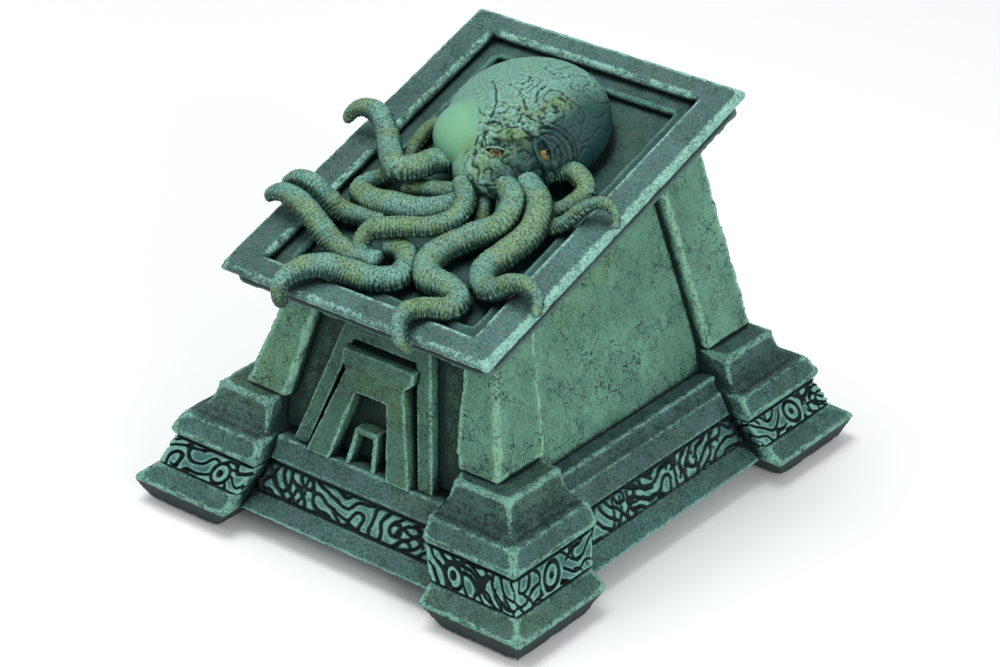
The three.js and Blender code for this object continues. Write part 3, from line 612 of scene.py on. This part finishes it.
# The front wall, under the lid's overhang, is darkened with painted shadow, and the rear wall a little.
for wall, shade in (("front_wall", 0.45), ("rear_wall", 0.05), ("left_wall", 0), ("right_wall", 0)):
    skin = casting(wall, 0.9)
    weather(skin, 52, chips=0.3, rough=0.09)
    stain(skin, shade)
    place(skin, "tower", "verdigris_resin", wall_stone, wall)

# ---- Collar ----
# A dark sloping ring glued on top of the walls; the lid sits down on it. Its near-black paint is made
# darker still as painted shade under the lid.
dark_with_shade = verdigris("dark_shaded_verdigris", (0.003, 0.008, 0.009), (0.014, 0.034, 0.032), (0.08, 0.17, 0.14),
                 ochre=0.1, vein=0.0, speck=0.4)
skin = casting("top_collar", 0.9)
weather(skin, 55, chips=0.4, rough=0.06)
stain(skin)
place(skin, "tower", "dark_resin", dark_with_shade, "top_collar")

# ---- False door ----
# A flared surround, a doorway that leans out of it and a small niche frame, all cast in relief.
door_stone = verdigris("door_verdigris", DEEP, (0.065, 0.16, 0.115), (0.2, 0.43, 0.31),
                       ochre=0.4, vein=0.7, speck=0.45)
for piece in ("door_surround", "doorway", "niche_frame"):
    skin = casting(piece, 0.42)
    weather(skin, 61, chips=0.3, rough=0.05)
    stain(skin)
    place(skin, "tower", "verdigris_resin", door_stone, piece)

# ---- Dice path ----
# A floor and two ramps on ledgers inside the tower, cast in plain grey resin and left bare.
bare = verdigris("inner_resin", (0.006, 0.012, 0.012), (0.04, 0.062, 0.058), (0.09, 0.13, 0.12),
                 ochre=0.05, vein=0.0, speck=0.25)
for piece in ("chamber_floor", "upper_ramp", "lower_ramp", "ramp_ledger_left", "ramp_ledger_right"):
    skin = casting(piece, 1.2)
    weather(skin, 71, chips=0.1, rough=0.05)
    stain(skin)
    place(skin, "tower", "inner_resin", bare, piece)

# ---- Lid ----
# A picture frame, a stepped ledge inside it, a sunk panel, a dark rim under the frame and a lip; the rim
# and the lip take the collar's near-black paint with its painted shade.
# The five layers are glued flat on each other and lift off as one.
lid_stone = verdigris("lid_verdigris", (0.005, 0.015, 0.016), (0.08, 0.19, 0.165),
                      (0.3, 0.6, 0.5), ochre=0.1, plum=0.5, vein=0.35, speck=0.55)
panel_stone = verdigris("panel_verdigris", (0.004, 0.012, 0.013), (0.04, 0.115, 0.1),
                        (0.1, 0.26, 0.21), ochre=0.3, plum=0.3, vein=0.4, speck=0.45)
for piece, finish, slot, chips, grain in (("lid_frame", lid_stone, "lid_resin", 0.6, 0.6),
                                          ("lid_ledge", panel_stone, "lid_resin", 0.2, 0.7),
                                          ("lid_panel", panel_stone, "dark_resin", 0.2, 0.9),
                                          ("lid_under_rim", dark_with_shade, "dark_resin", 0.3, 0.75),
                                          ("lid_lip", dark_with_shade, "dark_resin", 0.1, 0.75)):
    skin = casting(piece, grain)
    weather(skin, 81, chips=chips, rough=0.07)
    # Painted shade darkens the left side of every lid layer.
    stain(skin, 0.2 * ramp(-skin.points[:, 0], 42, 52))
    place(skin, "lid", slot, finish, piece)

# ---- Octopus head ----
# A swollen mantle, a brow and a muzzle modelled in one with creases, eye rings and folds,
# cast solid and glued into the sunk panel. Lid measures: across, up the slope, out of the face.
LID_SLOPE = math.radians(18.55)
LID_CORNER = np.array([0, -82.0, 99.5])
LID_AXES = np.array([
    [1, 0, 0],
    [0, math.cos(LID_SLOPE), math.sin(LID_SLOPE)],
    [0, -math.sin(LID_SLOPE), math.cos(LID_SLOPE)],
])


def lump(bm, at, size):
    """An ellipsoid added to the clay, in lid measures."""
    made = bmesh.ops.create_icosphere(bm, subdivisions=5, radius=1)
    bmesh.ops.scale(bm, vec=size, verts=made["verts"])
    bmesh.ops.translate(bm, vec=at, verts=made["verts"])


def off_path(points, path):
    """Distance of each point from a line drawn through the given places."""
    nearest = np.full(len(points), 1e9)
    for start, end in zip(path[:-1], path[1:]):
        start = np.array(start, float)
        side = np.array(end, float) - start
        share = np.clip((points - start) @ side / (side @ side), 0, 1)
        nearest = np.minimum(nearest, np.linalg.norm(points - start - share[:, None] * side, axis=1))
    return nearest


RIGHT_EYE = (22.6, 87, 9)
LEFT_EYE = (7, 79, 10.8)
bm = bmesh.new()
lump(bm, (0, 104, 2), (31, 30, 19))
lump(bm, (4, 80, 1), (17, 14, 10))
lump(bm, (-10, 90, 4), (18.5, 15.5, 12.5))
lump(bm, (20, 92, 6), (9, 9, 8))
for at, size in (((4, 84, 13.5), 3.6), ((8, 85, 14), 3.8), ((12, 87.5, 14.3), 4), ((15, 92, 14.6), 4.2),
                 ((17, 98, 14.6), 4.2), ((18.4, 104, 14.6), 3.8), ((13, 81, 8.6), 4.2),
                 ((17, 82, 6.4), 4), ((10, 76, 8), 4), ((3, 76, 8.4), 3.8)):
    lump(bm, at, (size, size, size))
lowest = bm.verts[:] + bm.edges[:] + bm.faces[:]
bmesh.ops.bisect_plane(bm, geom=lowest, plane_co=(0, 0, -7.6), plane_no=(0, 0, 1), clear_inner=True)
bmesh.ops.holes_fill(bm, edges=bm.edges)
bmesh.ops.scale(bm, vec=(0.001,) * 3, verts=bm.verts)
mesh = bpy.data.meshes.new("octopus_head_skin")
bm.to_mesh(mesh)
bm.free()
head_piece = bpy.data.objects.new("octopus_head_skin", mesh)
scene.collection.objects.link(head_piece)
skin = even_skin(head_piece, 0.42)
skin.points = skin.spread(skin.points, 6)
skin.write()
clay = skin.points
x, up, out = clay.T
drift = 1.3 * np.stack([rumple(clay, 6, 30 + axis) for axis in range(3)], axis=1)
eye_r = np.linalg.norm(clay - RIGHT_EYE, axis=1)
brow = off_path(clay, [(2, 81, 15), (8, 84, 16), (13, 88, 17), (16, 96, 17), (18, 105, 17)])
face = ramp(22 - np.linalg.norm((clay - (14, 83, 9)) * (0.8, 1, 1), axis=1), 0, 8)
knots = ramp(6 - brow, 0, 4)
creases = np.exp(-(rumple(clay, 5.5, 5) / 0.1) ** 2) + 0.7 * np.exp(-(rumple(clay, 3, 6) / 0.12) ** 2)
smooth_lobe = ramp(15 - np.linalg.norm(clay - (-13, 84, 9), axis=1), 0, 6)
old_skin = np.exp(-(rumple(clay, 7, 7) / 0.08) ** 2) + np.exp(-(rumple(clay, 4, 17) / 0.1) ** 2)
old_skin *= ramp(x + 0.4 * rumple(clay, 6, 18), -8, 6) * (1 - face)
relief = -0.55 * face * creases - 0.34 * old_skin
relief += knots * (0.9 * rumple(clay, 2.6, 8) + 0.5 * rumple(clay, 1.3, 9))
relief += face * (1 - knots) * (0.7 * rumple(clay, 3.4, 10) + 0.35 * rumple(clay, 1.5, 11))
for path in ([(-11, 102, 20), (-5, 99.5, 20.4), (-1.5, 95, 20), (0.4, 90, 19), (0.2, 84, 16.4)],
             [(-8.5, 91, 18.4), (-4, 89, 18), (-1, 86, 17), (1.6, 82, 15.2)],
             [(2, 105, 21), (4, 101, 20.6), (8, 99, 20), (11, 96, 19)],
             [(0, 112, 20.4), (3, 108.5, 20.6), (2, 105, 21), (-2, 103, 21)],
             [(10, 112, 18.6), (9, 106, 20), (11, 101, 19.6), (16, 99, 17)],
             [(16, 118, 15), (20, 112, 14.6), (21, 107, 14.4), (26, 104, 11)]):
    gap = off_path(clay + drift, path)
    relief -= 0.5 * np.exp(-(gap / 0.5) ** 2) - 0.12 * np.exp(-((gap - 1.6) / 1) ** 2)
around = np.arctan2(up - RIGHT_EYE[1], x - RIGHT_EYE[0])
outer_side = ramp(around, -0.9, -0.3) * ramp(around, 2.4, 1.9)
rings = np.sin(2 * math.pi * (eye_r - 4.4) / 2.0) * ramp(eye_r, 4.2, 5) * ramp(eye_r, 13.5, 11)
relief += 0.5 * rings * outer_side
for (eye_x, eye_up, _), tilt, long, tall in ((RIGHT_EYE, -0.5, 3.2, 1.6), (LEFT_EYE, 0.25, 3.2, 0.9)):
    side = (x - eye_x) * math.cos(tilt) + (up - eye_up) * math.sin(tilt)
    rise = (up - eye_up) * math.cos(tilt) - (x - eye_x) * math.sin(tilt)
    slit = np.hypot(side / long, rise / tall)
    relief += 1.2 * np.exp(-((slit - 1.45) / 0.35) ** 2) - 1.6 * ramp(slit, 1.15, 0.85)
relief *= 1 - smooth_lobe
skin.push(relief + 0.05 * rumple(clay, 2, 12) * (1 - smooth_lobe))
skin.keep("moss", np.maximum(knots, 0.7 * face) * ramp(rumple(clay, 5, 13), -0.6, 0.5))
# The smooth left lobe is marked for a painted highlight, the right side of the head for painted shade,
# and the faces turned out of the lid for painted light.
skin.keep("blush", smooth_lobe)
skin.keep("dusk", ramp(x - 0.2 * (up - 100), 8, 24) * (1 - 0.6 * knots))
skin.keep("top", ramp(skin.normals[:, 2], -0.2, 0.7))


def onto_lid(skin):
    """Turns a piece from lid measures into its place on the lid."""
    skin.points = LID_CORNER + skin.points @ LID_AXES
    skin.write()


def octopus_paint(name, ochre, light, scaly):
    """Mint resin, dry-brushed brighter on the crests, with moss in the face, painted light on the faces
    turned out of the lid, a painted highlight on the smooth left lobe and painted shade on the flanks and
    down its right side.
    """
    material = bpy.data.materials.new(name)
    material.use_nodes = True
    Dye.tree = material.node_tree
    shader = material.node_tree.nodes["Principled BSDF"]
    top = mark("top")
    grain = cloud(1150, 3, 0.75)
    fleck = cloud(2500, 2, 0.7)
    patches = cloud(70, 3, 0.6)
    # Painted light and shade: faces turned out of the lid are lighter and the flanks darker; the ochre
    # and the mint dry brush fall mostly on the lighter faces.
    body = tint(top, (0.022, 0.07, 0.06), (0.07, 0.18, 0.135))
    gold = (patches + grain * 0.3).between(0.55, 0.75) * ochre * top
    body = tint(gold, body, (0.16, 0.24, 0.05))
    brushed = (top * 0.55 + fleck * 0.4 + grain * 0.3 + mark("wear") * 0.5 - mark("soot") * 0.6)
    body = tint(brushed.between(0.6, 1.35) * (1 - gold * 0.5) * light, body, (0.28, 0.6, 0.5))
    # A painted highlight on the smooth left lobe.
    body = tint(mark("blush") * 0.7, body, (0.17, 0.42, 0.24))
    body = tint(mark("moss") * 0.75, body, (0.15, 0.25, 0.055))
    # Painted shade down the right side of the head.
    body = tint(mark("dusk") * 0.93, body, (0.007, 0.045, 0.045))
    stipple = (1 - grain.between(0.38, 0.56)) * 0.5 * (1 - mark("blush"))
    stipple = stipple + cracks(620, 0.1) * scaly
    # The hollows, the places other faces close in on and the troughs of the arm folds take the dark wash
    # and painted shade.
    wash_and_shade = (mark("hollow") * 1.3 + mark("soot") + mark("fold") * 0.6 + stipple).between(0.03, 1.0)
    paint = tint(wash_and_shade * 0.95, body, (0.005, 0.02, 0.02))
    bump = Dye.node("ShaderNodeBump", {}, {"Strength": 0.35, "Distance": 0.0003, "Height": grain})
    shine = 0.45 + grain * 0.2
    Dye.tree.links.new(paint.socket, shader.inputs["Base Color"])
    Dye.tree.links.new(bump.socket, shader.inputs["Normal"])
    Dye.tree.links.new(shine.socket, shader.inputs["Roughness"])
    shader.inputs["Specular IOR Level"].default_value = 0.3
    return material


octopus = octopus_paint("octopus_verdigris", 0.3, 1.0, 0.0)
onto_lid(skin)
stain(skin)
place(skin, "lid", "octopus_resin", octopus, "octopus_head")

# ---- Eyes ----
# Two small flattened beads glazed ochre round a dark pupil and pressed into slits in the head.
glaze = bpy.data.materials.new("glazed_eye")
glaze.use_nodes = True
Dye.tree = glaze.node_tree
glaze_shader = glaze.node_tree.nodes["Principled BSDF"]
flecks = cloud(900, 3, 0.6)
iris = tint(flecks.between(0.35, 0.7), (0.14, 0.09, 0.012), (0.26, 0.18, 0.03))
iris = tint(mark("pupil"), iris, (0.004, 0.004, 0.012))
Dye.tree.links.new(iris.socket, glaze_shader.inputs["Base Color"])
glaze_shader.inputs["Roughness"].default_value = 0.38
EYE_LOOK = {
    "left": (LEFT_EYE, (2.7, 1.6, 2.4), (0.3, -0.3, 0.9), 0.75),
    "right": (RIGHT_EYE, (2.7, 2.1, 2.5), (0.8, 0.1, 0.6), 0.66),
}
for side, (at, shape, look, rim) in EYE_LOOK.items():
    bm = bmesh.new()
    lump(bm, at, shape)
    bmesh.ops.scale(bm, vec=(0.001,) * 3, verts=bm.verts)
    mesh = bpy.data.meshes.new("glazed_eye_" + side)
    bm.to_mesh(mesh)
    bm.free()
    mesh.shade_smooth()
    bead = bpy.data.objects.new("glazed_eye_" + side, mesh)
    scene.collection.objects.link(bead)
    skin = Skin(bead)
    facing = skin.normals @ (np.array(look) / np.linalg.norm(look))
    skin.keep("pupil", ramp(facing, rim, rim + 0.1))
    onto_lid(skin)
    place(skin, "lid", "eye_glaze", glaze, "eye_" + side)

# ---- Octopus arms ----
# Thirteen arms, each modelled as a tapering roll with two rows of suckers low on its flanks and
# fine folds across it, laid over one another and over the frame, and cast with the head.
ARMS = (
    ("arm_left_upper", (4.7, 4.4, 3.2), (
        (-13, 79, 1), (-20, 74, 2), (-22, 67, 4), (-27, 63, 5.6), (-34, 68, 5), (-42, 76, 6),
        (-48, 80, 10), (-55, 80, 10.5), (-60, 78, 7.5), (-62, 76, 3.8))),
    ("arm_middle_coil", (3.6, 3.5, 4.2), (
        (-2, 68, 4), (6, 60, 4.4), (8, 52, 4.2), (3, 45, 3.8), (-4, 41, 4.2), (-11, 37, 4.6),
        (-17, 34, 3), (-18, 29, 0), (-13, 27, -2.4))),
    ("arm_front_long", (4.6, 5.1, 3), (
        (12, 75, 3), (22, 67, 3), (23, 58, 1), (15, 50, -1), (9, 42, -2), (8, 34, -2.3),
        (13, 28, -2.3), (22, 27, -2.3), (29, 24, -2.3), (30, 18, -1.5), (25, 12, 2),
        (23, 6, 5.3), (24, 0, 5.4), (27, -4.4, 2.4), (30, -4, -4))),
    ("arm_left_lower", (4.4, 4.2, 3.3), (
        (-8, 27, -3.2), (-18, 26, -3), (-27, 26, -1), (-33, 27, 3.6), (-39, 29, 7.4),
        (-46, 31, 9.3), (-53, 32, 9.4), (-59, 32, 7), (-62.5, 31, 3.8))),
    ("arm_front_loop", (4.2, 4.8, 3.4), (
        (-12, 35, -3), (-4, 35, -2.4), (2, 30, -2.4), (2, 23, -2.4), (-5, 18, -1.4),
        (-12, 16, 0.6), (-19, 12.5, 4), (-24, 8, 5.4), (-27, 3, 5.4), (-28, -2, 4.6),
        (-28, -4.4, 0.6), (-28, -4.2, -4.6))),
    ("arm_left_middle", (3.8, 3.7, 3.1), (
        (-20, 44, -3.6), (-30, 44, -3.6), (-37, 42, -2), (-42, 41, 3.6), (-47, 41, 8.2),
        (-53, 41, 8.8), (-58, 40, 6.6), (-61, 39, 3.6))),
    ("arm_right_lower", (4.6, 5, 2.4), (
        (18, 79, 3), (30, 71, 2), (34, 60, 0), (31, 49, -2), (28.5, 41, -2.8), (32, 34, -2.6),
        (40, 31, 0), (48, 32, 5.4), (56, 32, 8), (62, 29, 6.6), (64, 24, 2.9))),
    ("arm_right_upper", (3.8, 3.2, 1.9), (
        (20, 86, 1), (30, 91, 1.4), (38, 87, -1), (36, 79, -3), (32, 73, -3.8), (35, 68, -3.8),
        (41, 69, -1.2), (48, 74, 5), (54, 77, 7.6), (60, 76, 6.4), (63, 72, 2.4))),
    ("arm_left_fold", (4.9, 5.2, 3.4), (
        (5, 66, 0), (-3, 58, -1.4), (-12, 53, -1.6), (-22, 51, -1), (-32, 50.5, -1.4),
        (-39, 54, -2.2), (-39, 61, -3), (-35, 67, -3.6))),
    ("arm_left_short", (3.8, 3.6, 3), (
        (-3, 68, -1.6), (-11, 66.5, -3), (-19, 65, -3.6), (-27, 61.5, -3.8))),
    ("arm_left_hook", (3, 2.8, 1.8), (
        (-26, 99, 0), (-33, 97, -2.6), (-38, 92, -4), (-38, 85, -4.6), (-36, 78, -5),
        (-34, 72, -5.4))),
    ("arm_inner_left", (3.2, 3, 2), (
        (3, 74, 1), (8, 67, -1.6), (11, 60, -4), (9, 54, -5.2))),
    ("arm_inner_right", (3.2, 3, 2), (
        (9, 77, 1), (15, 70, -0.6), (17, 62, -3.8), (14, 56, -5.2))),
)
RING = 0.4 * GRAIN  # length of one step along an arm
SIDES = 48 if GRAIN == 1 else 28


def bent(route):
    """Even steps along a smooth curve through the places of the route."""
    knots = np.array(route, float)
    sides = np.diff(knots, axis=0)
    time = np.sqrt(np.linalg.norm(sides, axis=1))[:, None]
    speed = sides / time
    inner = (speed[:-1] * time[1:] + speed[1:] * time[:-1]) / (time[1:] + time[:-1])
    speed = np.vstack([speed[:1], inner, speed[-1:]])
    t = np.linspace(0, 1, 60, endpoint=False)[:, None]
    line = []
    for i in range(len(sides)):
        line.append(knots[i] * (2 * t ** 3 - 3 * t ** 2 + 1) + knots[i + 1] * (3 * t ** 2 - 2 * t ** 3)
                    + speed[i] * time[i] * (t ** 3 - 2 * t ** 2 + t)
                    + speed[i + 1] * time[i] * (t ** 3 - t ** 2))
    line = np.vstack([*line, knots[-1:]])
    length = np.append(0, np.cumsum(np.linalg.norm(np.diff(line, axis=0), axis=1)))
    steps = np.linspace(0, length[-1], int(length[-1] / RING) + 1)
    return steps, np.stack([np.interp(steps, length, line[:, axis]) for axis in range(3)], axis=1)


def roll(name, radii, route, seed):
    """An arm as a closed roll round its route, with its suckers and folds."""
    steps, line = bent(route)
    ahead = np.gradient(line, axis=0)
    ahead /= np.linalg.norm(ahead, axis=1)[:, None]
    crown = np.empty_like(line)
    last = np.array([0, 0, 1.0])
    for i, way in enumerate(ahead):
        last = last + 0.04 * (1 - way[2] ** 2) * np.array([0, 0, 1.0])
        last = last - (last @ way) * way
        last = last / np.linalg.norm(last)
        crown[i] = last
    beside = np.cross(ahead, crown)
    bm = bmesh.new()
    bmesh.ops.create_grid(bm, x_segments=len(steps) - 1, y_segments=SIDES, size=1)
    mesh = bpy.data.meshes.new(name + "_skin")
    bm.to_mesh(mesh)
    flat = np.empty(len(mesh.vertices) * 3, np.float32)
    mesh.vertices.foreach_get("co", flat)
    grid = flat.reshape(-1, 3)
    step = np.rint((grid[:, 0] + 1) / 2 * (len(steps) - 1)).astype(int)
    angle = math.pi * grid[:, 1].astype(float)
    s = steps[step]
    total = steps[-1]
    radius = np.interp(s / total, (0, 0.5, 1), radii) * (1 - 0.3 * ramp(s / total, 0.72, 1))
    end = radii[2]
    radius *= np.sqrt(np.clip(1 - np.clip((s - total + end) / end, 0, 1) ** 2, 0, 1))
    radius *= np.sqrt(np.clip(1 - np.clip(1 - s / 2, 0, 1) ** 2, 0, 1))
    side = np.abs(angle)
    full = np.clip(radius, 0, 2.5) / 2.5
    flank = ramp(side, 0.75, 1.35)
    wobble = rumple(line[step] + 3 * np.sin(angle)[:, None], 3, seed)
    folds = np.sin(2 * math.pi * s / 1.25 + 3.4 * wobble + 1.2 * np.cos(2 * angle))
    folded = 0.4 + 0.6 * flank
    pitch = 2.7
    row = (s / pitch + 0.25 * np.sign(angle)) % 1 - 0.5
    spot = np.hypot(row * pitch, (side - 1.95) * np.maximum(radius, 1))
    sucker = 0.5 * ramp(spot, 1.25, 0.8) - 0.55 * ramp(spot, 0.55, 0.15)
    lumps = 0.16 * rumple(line[step] + 2 * np.cos(angle)[:, None], 2.4, seed + 1)
    scales = np.sin(2 * math.pi * s / 1.7 + 5 * wobble) * np.sin(angle * 9 + 3 * wobble)
    relief = 0.16 * folds * folded + sucker + (lumps + 0.12 * scales) * (1 - 0.5 * flank)
    reach = radius + relief * full
    tall = np.cos(angle) * reach
    broad = np.sin(angle) * reach
    place_at = line[step] + crown[step] * tall[:, None] + beside[step] * broad[:, None]
    mesh.vertices.foreach_set("co", (place_at / 1000).astype(np.float32).ravel())
    # The troughs of the folds are marked for the dark wash and painted shade.
    creased = mesh.attributes.new("fold", "FLOAT", "POINT")
    creased.data.foreach_set("value", (ramp(-folds, 0.1, 0.8) * folded).astype(np.float32))
    bm.clear()
    bm.from_mesh(mesh)
    bmesh.ops.remove_doubles(bm, verts=bm.verts, dist=2e-5)
    bmesh.ops.recalc_face_normals(bm, faces=bm.faces)
    bm.to_mesh(mesh)
    bm.free()
    mesh.shade_smooth()
    piece = bpy.data.objects.new(name + "_skin", mesh)
    scene.collection.objects.link(piece)
    return Skin(piece)


arm_paint = octopus_paint("arm_verdigris", 0.85, 0.62, 0.45)
for number, (name, radii, route) in enumerate(ARMS):
    skin = roll(name, radii, route, 90 + 3 * number)
    # Faces turned out of the lid are marked for painted light; the flanks stay in painted shade.
    skin.keep("top", ramp(skin.normals[:, 2], -0.25, 0.75))
    onto_lid(skin)
    stain(skin)
    place(skin, "lid", "octopus_resin", arm_paint, name)

size = {"cad": [list(v) for v in cad_box], "visual": [list(v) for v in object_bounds()]}
